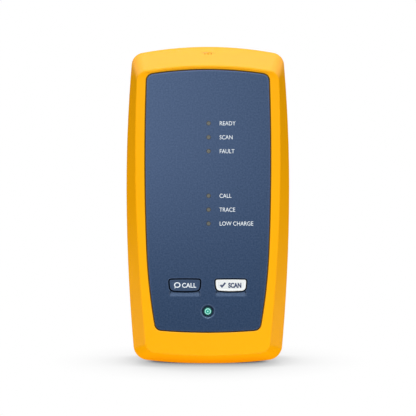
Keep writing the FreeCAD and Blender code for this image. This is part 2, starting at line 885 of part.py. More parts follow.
def io_board():
    """The rear board, with an ear under the ports and a tongue down to the battery contacts."""
    half = io_board_half_width
    body = block(-half, half, io_front_y, io_back_y, io_board_bottom, io_board_top)
    ear_low = charger_z - charger_body_size / 2 - io_ear_margin
    ear_high = headset_z + headset_body_size / 2 + io_ear_margin
    ear = block(-(case_half_width - io_ear_inset), 0, io_front_y, io_back_y, ear_low, ear_high)
    half = io_tongue_half_width
    tongue = block(-half, half, io_front_y, io_back_y, io_tongue_bottom, io_board_bottom + cut_margin)
    body = body.fuse([ear, tongue]).removeSplitter()
    hole = board_screw_radius + board_screw_clearance
    return body.cut([post(hole, x, z, io_front_y - cut_margin, io_back_y + cut_margin)
                     for x, z in io_screw_places()])


def io_board_screws():
    screws = []
    radius = board_screw_radius - board_screw_clearance
    for x, z in io_screw_places():
        shank = post(radius, x, z, io_front_y, io_screw_end - board_screw_end_gap)
        head = post(board_screw_head_radius, x, z, io_front_y - board_screw_head, io_front_y)
        screws.append(shank.fuse(head).removeSplitter())
    return Part.makeCompound(screws)


def io_shield():
    half = shield_width / 2
    front = io_front_y - shield_height
    top = shield_bottom + shield_length
    wall = shield_wall
    can = block(-half, half, front, io_front_y, shield_bottom, top)
    return can.cut(block(wall - half, half - wall, front + wall, io_front_y,
                         shield_bottom + wall, top - wall))


def jack(z, nose_radius, bore_radius, bore_depth, size):
    """A round socket: a body on the board, a nose through the wall and a bore from its mouth."""
    front = port_face_x + rear_wall + jack_inside_gap
    back = port_face_x + bore_depth + jack_back_wall
    half = size / 2
    body = block(front, back, port_y - min(half, nose_radius), io_front_y, z - half, z + half)
    nose = rod(nose_radius, at(port_face_x, port_y, z), at(front, port_y, z))
    bore = rod(bore_radius, at(port_face_x - cut_margin, port_y, z), at(port_face_x + bore_depth, port_y, z))
    return body.fuse(nose).cut(bore).removeSplitter()


def headset_jack():
    return jack(headset_z, headset_nose_radius, headset_bore_radius, headset_bore_depth, headset_body_size)


def charger_jack():
    body = jack(charger_z, charger_nose_radius, charger_bore_radius, charger_bore_depth, charger_body_size)
    floor_x = port_face_x + charger_bore_depth
    return body.cut(charger_rod(charger_pin_root_radius, floor_x - cut_margin, floor_x + charger_pin_root))


def charger_rod(radius, x0, x1):
    return rod(radius, at(x0, port_y, charger_z), at(x1, port_y, charger_z))


def charger_pin():
    floor_x = port_face_x + charger_bore_depth
    tip = charger_rod(charger_pin_radius, port_face_x + charger_pin_drop, floor_x)
    root = charger_rod(charger_pin_root_radius, floor_x, floor_x + charger_pin_root)
    return tip.fuse(root).removeSplitter()


def usb_port():
    """A flat metal mouth with a tongue inside it, on a body that stands on the board."""
    back = port_face_x + usb_shell_depth
    wide, deep = usb_shell_width / 2, usb_shell_height / 2
    shell = block(port_face_x, back, port_y - deep, port_y + deep, usb_z - wide, usb_z + wide)
    clear_wide, clear_deep = wide - usb_shell_wall, deep - usb_shell_wall
    mouth = block(port_face_x - cut_margin, back, port_y - clear_deep, port_y + clear_deep,
                  usb_z - clear_wide, usb_z + clear_wide)
    body = block(back, back + usb_body_depth, port_y - deep, io_front_y, usb_z - wide, usb_z + wide)
    thin = usb_tongue_thickness / 2
    tongue = block(port_face_x + usb_tongue_drop, back + usb_tongue_drop, port_y - thin, port_y + thin,
                   usb_z - usb_tongue_width / 2, usb_z + usb_tongue_width / 2)
    return shell.cut(mouth).fuse([body, tongue]).removeSplitter()


def contact_places():
    first = -(contact_count - 1) / 2
    return [(first + i) * contact_pitch for i in range(contact_count)]


def contact_block(x, margin, y0, y1):
    half, reach = contact_width / 2 + margin, contact_length / 2 + margin
    return block(x - half, x + half, y0, y1, contact_z - reach, contact_z + reach)


def battery_contacts():
    tip_y = bay_floor_y + battery_clearance
    return Part.makeCompound([contact_block(x, 0, io_back_y, tip_y) for x in contact_places()])


def battery_pack():
    gap = battery_clearance
    front = bay_floor_y + gap
    rear = back_y - gap
    half = bay_half_width - gap
    body = plate(-half, half, front, rear, bay_bottom + gap, bay_top - gap, bay_corner - gap)
    body = body.makeFillet(battery_rounding, edges_at(body, rear))
    half = battery_groove_length / 2
    cuts = thumb_holes(battery_screw_places(), front - cut_margin)
    for i in range(battery_groove_count):
        low = bay_bottom + battery_groove_rise + i * battery_groove_pitch
        cuts.append(plate(-half, half, rear - battery_groove_depth, rear + cut_margin,
                          low, low + battery_groove_width, battery_groove_corner))
    return body.cut(cuts)


def thumb_holes(places, front):
    """Through hole and head pocket for each broad-headed screw."""
    cuts = []
    rear = back_y + cut_margin
    for x, z in places:
        cuts.append(post(thumb_shank_radius + thumb_clearance, x, z, front, rear))
        cuts.append(post(thumb_head_radius + thumb_clearance, x, z, thumb_head_y - thumb_head, rear))
    return cuts


def thumb_screws(places):
    """Broad slotted heads on long shanks that reach into the rear case."""
    screws = []
    for x, z in places:
        head = post(thumb_head_radius, x, z, thumb_head_y - thumb_head, thumb_head_y)
        head = head.makeFillet(thumb_sink, edges_at(head, thumb_head_y))
        shank = post(thumb_shank_radius, x, z, floor_y - thumb_insert_depth, thumb_head_y - thumb_head)
        half = thumb_slot_width / 2
        slot = block(x - thumb_head_radius, x + thumb_head_radius, thumb_head_y - thumb_slot_depth,
                     thumb_head_y + cut_margin, z - half, z + half)
        screws.append(head.fuse(shank).cut(slot).removeSplitter())
    return Part.makeCompound(screws)


def case_screws():
    screws = []
    for x, z, seat in case_screw_places():
        head_back = seat - case_screw_sink
        head = post(case_screw_head_radius, x, z, head_back - case_screw_head, head_back)
        shank = post(case_screw_radius, x, z, seat - case_screw_reach, head_back - case_screw_head)
        screws.append(head.fuse(shank).removeSplitter())
    return Part.makeCompound(screws)


def module_shape():
    """The module's own part of the back, over the battery compartment."""
    return rear_shape().common(above(module_bottom + module_gap, module_seat, back_y))


def module_tray():
    body = module_shape().common(above(0, tray_front_y, tray_back_y))
    floor_z = module_bottom + module_gap + module_wall + module_fit
    inner = rear_back_outline.inward(module_wall + module_fit)
    root_y = tray_back_y - cut_margin
    lip = ring(inner, inner.inward(module_tray_lip), root_y, tray_back_y + module_tray_lip_height)
    lip = lip.common(above(floor_z, tray_front_y, back_y))
    posts = [post(module_post_radius, x, z, root_y, module_board_front_y) for x, z in module_post_places()]
    body = body.fuse([lip] + posts)
    plug_gap = module_socket_clearance - module_plug_margin
    cuts = [socket_block(plug_gap, tray_front_y - cut_margin, tray_back_y + cut_margin)]
    shank = thumb_shank_radius + thumb_clearance
    for x, z in module_screw_places():
        cuts.append(post(thumb_boss_radius + module_fit, x, z, tray_back_y, back_y))
        cuts.append(post(shank, x, z, tray_front_y - cut_margin, back_y))
    return body.cut(cuts).removeSplitter()


def module_board_bounds():
    half = rear_back_half_width - module_board_inset
    return half, module_bottom + module_board_bottom_rise, rear_back_top - module_board_top_drop


def module_post_places():
    half, low, high = module_board_bounds()
    heights = (low + module_post_inset, high - module_post_inset)
    return [(sign * (half - module_post_inset), z) for z in heights for sign in (-1, 1)]


def module_board():
    half, low, high = module_board_bounds()
    return plate(-half, half, module_board_front_y, module_board_back_y, low, high, module_post_radius)


def module_shield():
    half = module_shield_half_width
    y1 = module_cavity_back - module_shield_clearance
    can = block(-half, half, module_board_back_y, y1, module_shield_bottom, module_shield_top)
    inside = block(-half + shield_wall, half - shield_wall, module_board_back_y, y1 - shield_wall,
                   module_shield_bottom + shield_wall, module_shield_top - shield_wall)
    return can.cut(inside)


def socket_block(margin, y0, y1):
    """The outline of the connector between case and module, grown by a margin."""
    half, reach = module_socket_width / 2 + margin, module_socket_depth / 2 + margin
    return block(-half, half, y0, y1, module_socket_z - reach, module_socket_z + reach)


def module_socket():
    return socket_block(0, io_back_y, module_seat - module_socket_drop)


def module_plug():
    tip_y = module_seat - module_socket_drop + module_plug_gap
    return socket_block(-module_plug_margin, tip_y, module_board_front_y)


def link_bounds():
    """Front and back of the link socket's nose, and the height of its mouth."""
    front = module_board_back_y
    middle = front + link_depth / 2
    return front, front + link_depth, rear_section(middle).top - link_top_drop


def module_cover():
    body = module_shape().common(above(0, tray_back_y, back_y + cut_margin))
    inner = rear_back_outline.inward(module_wall)
    floor_z = module_bottom + module_gap + module_wall
    main = slab(inner, tray_back_y - cut_margin, module_cavity_back)
    main = main.common(above(floor_z, tray_front_y, back_y))
    high = slab(inner, module_cavity_back - cut_margin, back_y - module_wall)
    high = high.common(above(module_high_cavity_bottom, tray_front_y, back_y))
    body = body.cut([main, high])
    body = body.fuse([post(thumb_boss_radius, x, z, tray_back_y, module_cavity_back + cut_margin)
                      for x, z in module_screw_places()])
    half = stand_half_width + stand_side_gap
    recess = block(-half, half, stand_floor_y, back_y + cut_margin,
                   stand_tip_z - stand_nail_slot, stand_recess_top)
    pin_hole = stand_rod(stand_pin_radius + stand_pin_seat_clearance, half + stand_pin_hold)
    front, back, mouth = link_bounds()
    wide = link_half_width + link_clearance
    port = block(-wide, wide, front - link_clearance, back + link_clearance, mouth - link_length, case_height)
    body = body.cut(thumb_holes(module_screw_places(), tray_back_y - cut_margin) + [recess, pin_hole, port])
    return body.removeSplitter()


def link_socket():
    front, back, mouth = link_bounds()
    body = block(-link_half_width, link_half_width, front, back, mouth - link_length, mouth)
    half = link_half_width - link_wall
    floor_z = mouth - link_length + link_floor
    return body.cut(block(-half, half, front + link_wall, back - link_wall, floor_z, mouth + cut_margin))


def link_contacts():
    front, back, mouth = link_bounds()
    floor_z = mouth - link_length + link_floor
    middle = (front + back) / 2
    half, reach = link_contact_width / 2, link_contact_length / 2
    first = -(link_contact_count - 1) / 2
    places = [(first + i) * link_contact_pitch for i in range(link_contact_count)]
    top_z = floor_z + link_contact_rise
    return Part.makeCompound([block(x - half, x + half, middle - reach, middle + reach, floor_z, top_z)
                              for x in places])


def stand_rod(radius, reach):
    """A cylinder on the stand's hinge axis, reaching as far to both sides."""
    return rod(radius, at(-reach, stand_axis_y, stand_axis_z), at(reach, stand_axis_y, stand_axis_z))


def tilt_stand():
    """A broad leg on a barrel hinge, with a ribbed field sunk in its back face."""
    front, back = stand_axis_y - stand_thickness / 2, stand_axis_y + stand_thickness / 2
    leg = block(-stand_half_width, stand_half_width, front, back, stand_tip_z, stand_axis_z)
    lower = [edge for edge in edges_along_y(leg) if edge.CenterOfMass.z < stand_tip_z + stand_corner]
    leg = leg.makeFillet(stand_corner, lower)
    body = leg.fuse(stand_rod(stand_barrel_radius, stand_half_width))
    cuts = [stand_rod(stand_pin_radius + stand_pin_running, stand_half_width + cut_margin), foot_block()]
    half = stand_half_width - stand_field_margin
    low, high = stand_tip_z + stand_field_margin, stand_axis_z - stand_field_margin
    step = (high - low + stand_rib_width) / (stand_rib_count + 1)
    for i in range(stand_rib_count + 1):
        z = low + i * step
        cuts.append(plate(-half, half, back - stand_field_depth, back + cut_margin,
                          z, z + step - stand_rib_width, stand_field_corner))
    return body.cut(cuts).removeSplitter()


def foot_block():
    half, reach = stand_foot_half_width, stand_thickness / 2 - stand_foot_inset
    return block(-half, half, stand_axis_y - reach, stand_axis_y + reach,
                 stand_tip_z, stand_tip_z + stand_foot_height)


def stand_pin():
    hold = stand_pin_hold - stand_pin_seat_clearance
    return stand_rod(stand_pin_radius, stand_half_width + stand_side_gap + hold)


lamp_names = ("ready", "busy", "fault", "voice", "trace", "charge")

pieces = {
    "front_bezel": front_bezel(),
    "control_panel": control_panel(),
    "panel_gasket": panel_gasket(),
    "ui_board": ui_board(),
    "board_screws": board_screws(),
    "ui_ribbon_socket": ribbon_socket(board_back_y, board_back_y + ribbon_socket_height, ribbon_ui_height),
    "io_ribbon_socket": ribbon_socket(io_front_y - ribbon_socket_height, io_front_y, ribbon_io_height),
    "ribbon_cable": ribbon_cable(),
    "sound_mesh": sound_mesh(),
    "buzzer": buzzer(),
    "case_gasket": case_gasket(),
    "rear_case": rear_case(),
    "case_screws": case_screws(),
    "io_board": io_board(),
    "io_board_screws": io_board_screws(),
    "io_shield": io_shield(),
    "headset_jack": headset_jack(),
    "usb_port": usb_port(),
    "charger_jack": charger_jack(),
    "charger_pin": charger_pin(),
    "battery_contacts": battery_contacts(),
    "battery_pack": battery_pack(),
    "battery_screws": thumb_screws(battery_screw_places()),
    "module_tray": module_tray(),
    "module_board": module_board(),
    "module_shield": module_shield(),
    "module_socket": module_socket(),
    "module_plug": module_plug(),
    "module_cover": module_cover(),
    "module_screws": thumb_screws(module_screw_places()),
    "link_socket": link_socket(),
    "link_contacts": link_contacts(),
    "tilt_stand": tilt_stand(),
    "stand_foot": foot_block(),
    "stand_pin": stand_pin(),
    "power_keycap": power_keycap(),
    "power_boot": power_boot(),
    "power_plunger": plunger(0, power_z),
    "power_switch": switch(0, power_z),
}
for lamp_name, lamp_z in zip(lamp_names, lamp_heights()):
    pieces[lamp_name + "_lens"] = lens(lamp_z)
    pieces[lamp_name + "_led"] = led(lamp_z)
for key_name, key_x in (("voice", -key_spread), ("start", key_spread)):
    pieces[key_name + "_keycap"] = keycap(key_x)
    pieces[key_name + "_boot"] = key_boot(key_x)
    pieces[key_name + "_plunger"] = plunger(key_x, key_middle)
    pieces[key_name + "_switch"] = switch(key_x, key_middle)

os.makedirs("parts", exist_ok=True)
for piece_name, piece in pieces.items():
    piece.exportStep(f"parts/{piece_name}.step")
print(len(pieces), "pieces")
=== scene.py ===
import json
import math
import bpy
from mathutils import Matrix, Vector


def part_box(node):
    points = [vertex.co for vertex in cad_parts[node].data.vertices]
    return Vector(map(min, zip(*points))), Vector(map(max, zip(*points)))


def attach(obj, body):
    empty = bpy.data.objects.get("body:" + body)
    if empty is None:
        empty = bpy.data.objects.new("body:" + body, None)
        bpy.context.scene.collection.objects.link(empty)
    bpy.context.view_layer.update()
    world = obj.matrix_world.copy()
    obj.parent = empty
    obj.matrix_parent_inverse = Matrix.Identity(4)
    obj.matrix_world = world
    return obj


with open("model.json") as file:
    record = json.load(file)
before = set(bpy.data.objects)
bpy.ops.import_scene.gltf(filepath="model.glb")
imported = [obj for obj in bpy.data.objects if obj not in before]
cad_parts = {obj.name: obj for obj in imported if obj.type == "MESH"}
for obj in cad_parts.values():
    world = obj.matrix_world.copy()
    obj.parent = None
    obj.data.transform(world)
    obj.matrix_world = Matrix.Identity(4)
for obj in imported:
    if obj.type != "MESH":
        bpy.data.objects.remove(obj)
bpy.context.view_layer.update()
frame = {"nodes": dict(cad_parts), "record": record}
mm = 0.001


# sRGB hex to the linear colour that shaders take
def hexColour(text):
    channels = [int(text[i:i + 2], 16) / 255 for i in (0, 2, 4)]
    linear = [c / 12.92 if c <= 0.04045 else ((c + 0.055) / 1.055) ** 2.4 for c in channels]
    return (*linear, 1.0)


# how many repeats of a pattern fit in a metre, from its size in millimetres
def perMetre(size):
    return 1 / (size * mm)


# adds a node: settings are its properties, inputs are values or sockets to link
def addNode(tree, kind, settings=None, inputs=None):
    node = tree.nodes.new(kind)
    for name, value in (settings or {}).items():
        setattr(node, name, value)
    for name, value in (inputs or {}).items():
        if isinstance(value, bpy.types.NodeSocket):
            tree.links.new(value, node.inputs[name])
        else:
            node.inputs[name].default_value = value
    return node


def newMaterial(name):
    material = bpy.data.materials.new(name)
    material.use_nodes = True
    material.node_tree.nodes.clear()
    return material, material.node_tree


def finishMaterial(tree, shader):
    addNode(tree, "ShaderNodeOutputMaterial", inputs={"Surface": shader.outputs[0]})


def placeOf(tree):
    return addNode(tree, "ShaderNodeTexCoord").outputs["Object"]


# what all moulded surfaces share: how finely edges and seams are sampled, and how the noises are layered
moulding = {"edgeSamples": 6, "seamSamples": 8, "grainDetail": 2.0, "grainRoughness": 0.6,
            "driftDetail": 1.0, "driftSpan": (0.3, 0.7)}


# how far a face lies within reach of an edge: one at the edge, nought on open faces; it places the painted
# highlights along edges
def edgeShare(tree, look):
    broken = addNode(tree, "ShaderNodeBevel", {"samples": moulding["seamSamples"]},
                     {"Radius": look["rimReach"] * mm})
    face = addNode(tree, "ShaderNodeNewGeometry")
    agree = addNode(tree, "ShaderNodeVectorMath", {"operation": "DOT_PRODUCT"},
                    {0: broken.outputs["Normal"], 1: face.outputs["Normal"]})
    share = addNode(tree, "ShaderNodeMapRange", None,
                    {"Value": agree.outputs["Value"], "From Min": 1.0, "From Max": look["rimTurn"]})
    return share.outputs["Result"]


# one on open faces, less in seams and holes narrower than the reach; the foot on the floor counts as open; it
# places the painted shade in seams and holes, and fades the painted sheen there
def openShare(tree, look):
    hidden = addNode(tree, "ShaderNodeAmbientOcclusion", {"samples": moulding["seamSamples"]},
                     {"Distance": look["crease"] * mm})
    axes = addNode(tree, "ShaderNodeSeparateXYZ", None, {"Vector": placeOf(tree)})
    low = addNode(tree, "ShaderNodeMapRange", None,
                  {"Value": axes.outputs["Z"], "From Min": look["foot"] * mm, "From Max": 0.0})
    share = addNode(tree, "ShaderNodeMath", {"operation": "MAXIMUM"},
                    {0: hidden.outputs["AO"], 1: low.outputs["Result"]})
    return share.outputs["Value"]


# lays a satin gloss over a shader by a share
def satinGloss(tree, shader, normal, look, share):
    gloss = addNode(tree, "ShaderNodeBsdfAnisotropic", None,
                    {"Color": hexColour(look["sheen"]), "Roughness": look["roughness"], "Normal": normal})
    return addNode(tree, "ShaderNodeMixShader", None,
                   {0: share, 1: shader.outputs["BSDF"], 2: gloss.outputs["BSDF"]})


# the gloss's share, which is painted sheen: satin gives it for the front, and its least and most on faces
# that turn away;
# those get more where they look up, and within the height zones, where the sheen is painted to fall
# each height zone runs between two heights in mm, and its other numbers are what it adds at each
def paintedSheenShare(tree, look, clear):
    front, least, most = look["satin"]
    face = addNode(tree, "ShaderNodeNewGeometry")
    turn = addNode(tree, "ShaderNodeSeparateXYZ", None, {"Vector": face.outputs["Normal"]})
    axes = addNode(tree, "ShaderNodeSeparateXYZ", None, {"Vector": placeOf(tree)})
    heightSheen = 0.0
    for start, end, little, much in look["heightSheen"]:
        zone = addNode(tree, "ShaderNodeMapRange", None,
                       {"Value": axes.outputs["Z"], "From Min": start * mm, "From Max": end * mm,
                        "To Min": little, "To Max": much})
        heightSheen = addNode(tree, "ShaderNodeMath", {"operation": "ADD"},
                       {0: heightSheen, 1: zone.outputs["Result"]}).outputs["Value"]
    up = addNode(tree, "ShaderNodeMath", {"operation": "MULTIPLY_ADD"},
                 {0: turn.outputs["Z"], 1: look["upTurn"], 2: heightSheen})
    turned = addNode(tree, "ShaderNodeMapRange", None,
                     {"Value": up.outputs["Value"], "To Min": least, "To Max": most})
    share = addNode(tree, "ShaderNodeMapRange", None,
                    {"Value": turn.outputs["Y"], "From Min": look["away"][0], "From Max": look["away"][1],
                     "To Min": front, "To Max": turned.outputs["Result"]})
    shine = addNode(tree, "ShaderNodeMath", {"operation": "MULTIPLY"},
                    {0: share.outputs["Result"], 1: clear})
    return shine.outputs["Value"]


# a moulded surface: mould grain as bump over softly broken edges, and a slow drift of the colour
def mouldedPlastic(name, look):
    material, tree = newMaterial(name)
    place = placeOf(tree)
    grain = addNode(tree, "ShaderNodeTexNoise", {"noise_dimensions": "3D"},
                    {"Vector": place, "Scale": perMetre(look["grain"]),
                     "Detail": moulding["grainDetail"], "Roughness": moulding["grainRoughness"]})
    edge = addNode(tree, "ShaderNodeBevel", {"samples": moulding["edgeSamples"]},
                   {"Radius": look["edge"] * mm})
    bump = addNode(tree, "ShaderNodeBump", None,
                   {"Height": grain.outputs["Fac"], "Strength": look["bump"],
                    "Distance": look["grainDepth"] * mm, "Normal": edge.outputs["Normal"]})
    drift = addNode(tree, "ShaderNodeTexNoise", None,
                    {"Vector": place, "Scale": perMetre(look["drift"]), "Detail": moulding["driftDetail"]})
    ramp = addNode(tree, "ShaderNodeValToRGB", None, {"Fac": drift.outputs["Fac"]})
    tones = (look["deep"], look["pale"])
    for stop, position, tone in zip(ramp.color_ramp.elements, moulding["driftSpan"], tones):
        stop.position = position
        stop.color = hexColour(tone)
    colour = ramp.outputs["Color"]
    # painted highlight: edges turn paler towards the rim colour
    if "rim" in look:
        highlighted = addNode(tree, "ShaderNodeMix", {"data_type": "RGBA"},
                         {0: edgeShare(tree, look), 6: colour, 7: hexColour(look["rim"])})
        colour = highlighted.outputs[2]
    clear = 1.0
    # painted shade: seams and holes turn darker towards the shaded colour
    if "crease" in look:
        clear = openShare(tree, look)
        creased = addNode(tree, "ShaderNodeMix", {"data_type": "RGBA"},
                          {0: clear, 6: hexColour(look["shaded"]), 7: colour})
        colour = creased.outputs[2]
    shader = addNode(tree, "ShaderNodeBsdfPrincipled", None,
                     {"Base Color": colour, "Roughness": look["roughness"], "IOR": look["ior"],
                      "Specular IOR Level": look["specular"], "Normal": bump.outputs["Normal"]})
    # painted sheen: the gloss's share is set by facing and height, more on faces that look up
    if "satin" in look:
        share = paintedSheenShare(tree, look, clear)
        shader = satinGloss(tree, shader, bump.outputs["Normal"], look, share)
    finishMaterial(tree, shader)
    return material


# injection-moulded ABS in a spark-eroded tool: even deep yellow with a soft satin sheen,
# paler along its edges by a painted highlight, darker in seams and holes by painted shade, and with painted
# sheen that makes it glossiest on the top and again a little towards the foot
yellowAbs = {"pale": "FFB00A", "deep": "FDAD08", "roughness": 0.25, "ior": 1.54, "specular": 0.0,
             "grain": 0.4, "grainDepth": 0.02, "bump": 0.25, "edge": 0.35, "drift": 60.0,
             "rim": "FFBE30", "rimReach": 0.9, "rimTurn": 0.93,
             "crease": 0.9, "shaded": "402400", "foot": 8.0,
             "sheen": "FFFFFF", "satin": (0.0055, 0.0, 0.074), "away": (-0.8, -0.62), "upTurn": 1.5,
             "heightSheen": [(236.0, 254.0, 0.0, 1.0), (165.0, 38.0, -0.07, 0.36)]}

# moulded ABS with a coarser matt grain: dark shell that shows little shine
charcoalAbs = {"pale": "3A3C40", "deep": "35373B", "roughness": 0.55, "ior": 1.54, "specular": 0.4,
               "grain": 0.9, "grainDepth": 0.05, "bump": 0.5, "edge": 0.3, "drift": 35.0}

# the stand is the same plastic from a smoother tool, a shade darker
charcoalStand = {"pale": "303236", "deep": "2C2E32", "roughness": 0.48, "ior": 1.54, "specular": 0.4,
                 "grain": 0.7, "grainDepth": 0.03, "bump": 0.4, "edge": 0.3, "drift": 35.0}

# moulded polycarbonate of the wide keys: smooth and satin, the white one with a painted highlight along its
# rim
slateKey = {"pale": "354A67", "deep": "334763", "roughness": 0.38, "ior": 1.58, "specular": 0.15,
            "grain": 0.5, "grainDepth": 0.01, "bump": 0.2, "edge": 0.25, "drift": 12.0}
whiteKey = {"pale": "E0E4E4", "deep": "DCE1E1", "roughness": 0.38, "ior": 1.58, "specular": 0.1,
            "grain": 0.5, "grainDepth": 0.01, "bump": 0.2, "edge": 0.25, "drift": 12.0,
            "rim": "FFFFFF", "rimReach": 0.9, "rimTurn": 0.93}

# glass-filled nylon of sockets and switches: flat black with a fine speckle
blackNylon = {"pale": "1E1E21", "deep": "18181A", "roughness": 0.5, "ior": 1.53, "specular": 0.5,
              "grain": 0.5, "grainDepth": 0.02, "bump": 0.4, "edge": 0.15, "drift": 2.0}

# moulded silicone of the key boots and the stand's foot: dull, with no clear highlight
blackSilicone = {"pale": "060B18", "deep": "040812", "roughness": 0.75, "ior": 1.42, "specular": 0.02,
                 "grain": 0.3, "grainDepth": 0.01, "bump": 0.3, "edge": 0.15, "drift": 4.0}

# the power key's boot is the same silicone, a little paler
paleSilicone = dict(blackSilicone, pale="24384A", deep="1E303F")

# closed-cell foam of the seals: dead black and softly pitted
blackFoam = {"pale": "1C1C1E", "deep": "121213", "roughness": 0.95, "ior": 1.45, "specular": 0.2,
             "grain": 0.6, "grainDepth": 0.12, "bump": 0.8, "edge": 0.1, "drift": 1.5}

# extruded PVC of the flat cable: cool white with a soft shine
whitePvc = {"pale": "DADDE2", "deep": "C9CDD4", "roughness": 0.45, "ior": 1.53, "specular": 0.4,
            "grain": 1.0, "grainDepth": 0.05, "bump": 0.4, "edge": 0.05, "drift": 3.0}

# cast epoxy body of a surface-mounted lamp: cream, with a slight gloss
lampEpoxy = {"pale": "E6E4DA", "deep": "DCD9CC", "roughness": 0.3, "ior": 1.55, "specular": 0.5,
             "grain": 0.4, "grainDepth": 0.01, "bump": 0.2, "edge": 0.1, "drift": 1.0}


# moulded ABS panel: slate blue with a painted highlight that makes it lighter towards the upper left, with a
# fine pebble grain
# the grain is drawn about three times its real size so that it shows at arm's length
# each highlight zone is where a painted highlight along the edges starts and is full, in mm, and how pale it
# gets
slatePanel = {"low": "2A3D59", "high": "495B7A", "lowZ": 20.0, "highZ": 195.0, "rightShare": 0.5,
              "pebble": 1.3, "pebbleDepth": 0.05, "pebbleDetail": 1.5, "pebbleRoughness": 0.55,
              "pebbleSpan": (0.25, 0.75), "bump": 0.3, "mottle": 0.28, "edge": 0.35,
              "roughness": 0.22, "ior": 1.54, "specular": 0.0,
              "rim": "7F93B4", "rimReach": 1.5, "rimTurn": 0.93,
              "sideHighlight": (42.0, 46.0, 0.6), "topHighlight": (222.0, 228.0, 1.0),
              "keyHighlight": (98.0, 90.0, 0.12), "lowHighlight": (58.0, 52.0, 0.38),
              "crease": 1.2, "shaded": "0A1226", "foot": 8.0,
              "sheen": "BCD8FF", "satin": (0.017, 0.017, 0.2), "away": (-0.83, -0.71), "upTurn": 1.5,
              "heightSheen": []}


def panelMaterial(look):
    material, tree = newMaterial("moulded slate ABS")
    place = placeOf(tree)
    low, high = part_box("control_panel")
    axes = addNode(tree, "ShaderNodeSeparateXYZ", None, {"Vector": place})
    # painted highlight: the colour goes from low to high towards the top and the left
    upward = addNode(tree, "ShaderNodeMapRange", {"interpolation_type": "SMOOTHSTEP"},
                     {"Value": axes.outputs["Z"], "From Min": look["lowZ"] * mm,
                      "From Max": look["highZ"] * mm})
    leftward = addNode(tree, "ShaderNodeMapRange", None,
                       {"Value": axes.outputs["X"], "From Min": low.x, "From Max": high.x,
                        "To Min": 1.0, "To Max": look["rightShare"]})
    light = addNode(tree, "ShaderNodeMath", {"operation": "MULTIPLY"},
                    {0: upward.outputs["Result"], 1: leftward.outputs["Result"]})
    pebble = addNode(tree, "ShaderNodeTexNoise", None,
                     {"Vector": place, "Scale": perMetre(look["pebble"]),
                      "Detail": look["pebbleDetail"], "Roughness": look["pebbleRoughness"]})
    mottle = addNode(tree, "ShaderNodeMapRange", None,
                     {"Value": pebble.outputs["Fac"], "From Min": look["pebbleSpan"][0],
                      "From Max": look["pebbleSpan"][1], "To Min": -look["mottle"], "To Max": look["mottle"]})
    share = addNode(tree, "ShaderNodeMath", {"operation": "ADD"},
                    {0: light.outputs["Value"], 1: mottle.outputs["Result"]})
    colour = addNode(tree, "ShaderNodeMix", {"data_type": "RGBA", "clamp_factor": False},
                     {0: share.outputs["Value"], 6: hexColour(look["low"]), 7: hexColour(look["high"])})
    # painted highlight along the edges, with its strength set by the highlight zones
    sideways = addNode(tree, "ShaderNodeMath", {"operation": "ABSOLUTE"}, {0: axes.outputs["X"]})
    zones = [(sideways.outputs["Value"], look["sideHighlight"])]
    zones += [(axes.outputs["Z"], look[name]) for name in ("topHighlight", "keyHighlight", "lowHighlight")]
    highlightShare = 0.0
    for value, (start, end, most) in zones:
        zone = addNode(tree, "ShaderNodeMapRange", None,
                       {"Value": value, "From Min": start * mm, "From Max": end * mm, "To Max": most})
        highlightShare = addNode(tree, "ShaderNodeMath", {"operation": "MAXIMUM"},
                       {0: highlightShare, 1: zone.outputs["Result"]}).outputs["Value"]
    edgeHighlight = addNode(tree, "ShaderNodeMath", {"operation": "MULTIPLY"}, {0: edgeShare(tree, look), 1: highlightShare})
    highlighted = addNode(tree, "ShaderNodeMix", {"data_type": "RGBA"},
                     {0: edgeHighlight.outputs["Value"], 6: colour.outputs[2], 7: hexColour(look["rim"])})
    # painted shade: seams, gaps and holes turn darker towards the shaded colour
    clear = openShare(tree, look)
    creased = addNode(tree, "ShaderNodeMix", {"data_type": "RGBA"},
                      {0: clear, 6: hexColour(look["shaded"]), 7: highlighted.outputs[2]})
    edge = addNode(tree, "ShaderNodeBevel", {"samples": moulding["edgeSamples"]},
                   {"Radius": look["edge"] * mm})
    bump = addNode(tree, "ShaderNodeBump", None,
                   {"Height": pebble.outputs["Fac"], "Strength": look["bump"],
                    "Distance": look["pebbleDepth"] * mm, "Normal": edge.outputs["Normal"]})
    shader = addNode(tree, "ShaderNodeBsdfPrincipled", None,
                     {"Base Color": creased.outputs[2], "Roughness": look["roughness"], "IOR": look["ior"],
                      "Specular IOR Level": look["specular"], "Normal": bump.outputs["Normal"]})
    # painted sheen: more gloss on faces that look up, such as the ramps under the keys and the foot of the
    # countersink
    shine = paintedSheenShare(tree, look, clear)
    finishMaterial(tree, satinGloss(tree, shader, bump.outputs["Normal"], look, shine))
    return material


# a round piece's colour, from the middle of its front to its rim
def rimColour(tree, node, look):
    low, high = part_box(node)
    centre = (low + high) / 2
    radius = high.x - centre.x
    offset = addNode(tree, "ShaderNodeVectorMath", {"operation": "SUBTRACT"},
                     {0: placeOf(tree), 1: (centre.x, low.y, centre.z)})
    away = addNode(tree, "ShaderNodeVectorMath", {"operation": "LENGTH"}, {0: offset.outputs["Vector"]})
    start, end = look["rimSpan"]
    rim = addNode(tree, "ShaderNodeMapRange", {"interpolation_type": "SMOOTHSTEP"},
                  {"Value": away.outputs["Value"], "From Min": start * radius, "From Max": end * radius})
    colour = addNode(tree, "ShaderNodeMix", {"data_type": "RGBA"},
                     {0: rim.outputs["Result"], 6: hexColour(look["middle"]), 7: hexColour(look["rim"])})
    return colour.outputs[2]


# tinted silicone with a smooth skin: the key's face looks a little wet, and light goes some way in
# its rim colour is painted shade, darker where the dome turns away
greenSilicone = {"middle": "0CA387", "rim": "0C7C60", "rimSpan": (0.6, 1.0), "roughness": 0.28, "ior": 1.43,
                 "milk": 0.3, "milkRadius": (0.3, 1.0, 0.7), "depth": 0.8}


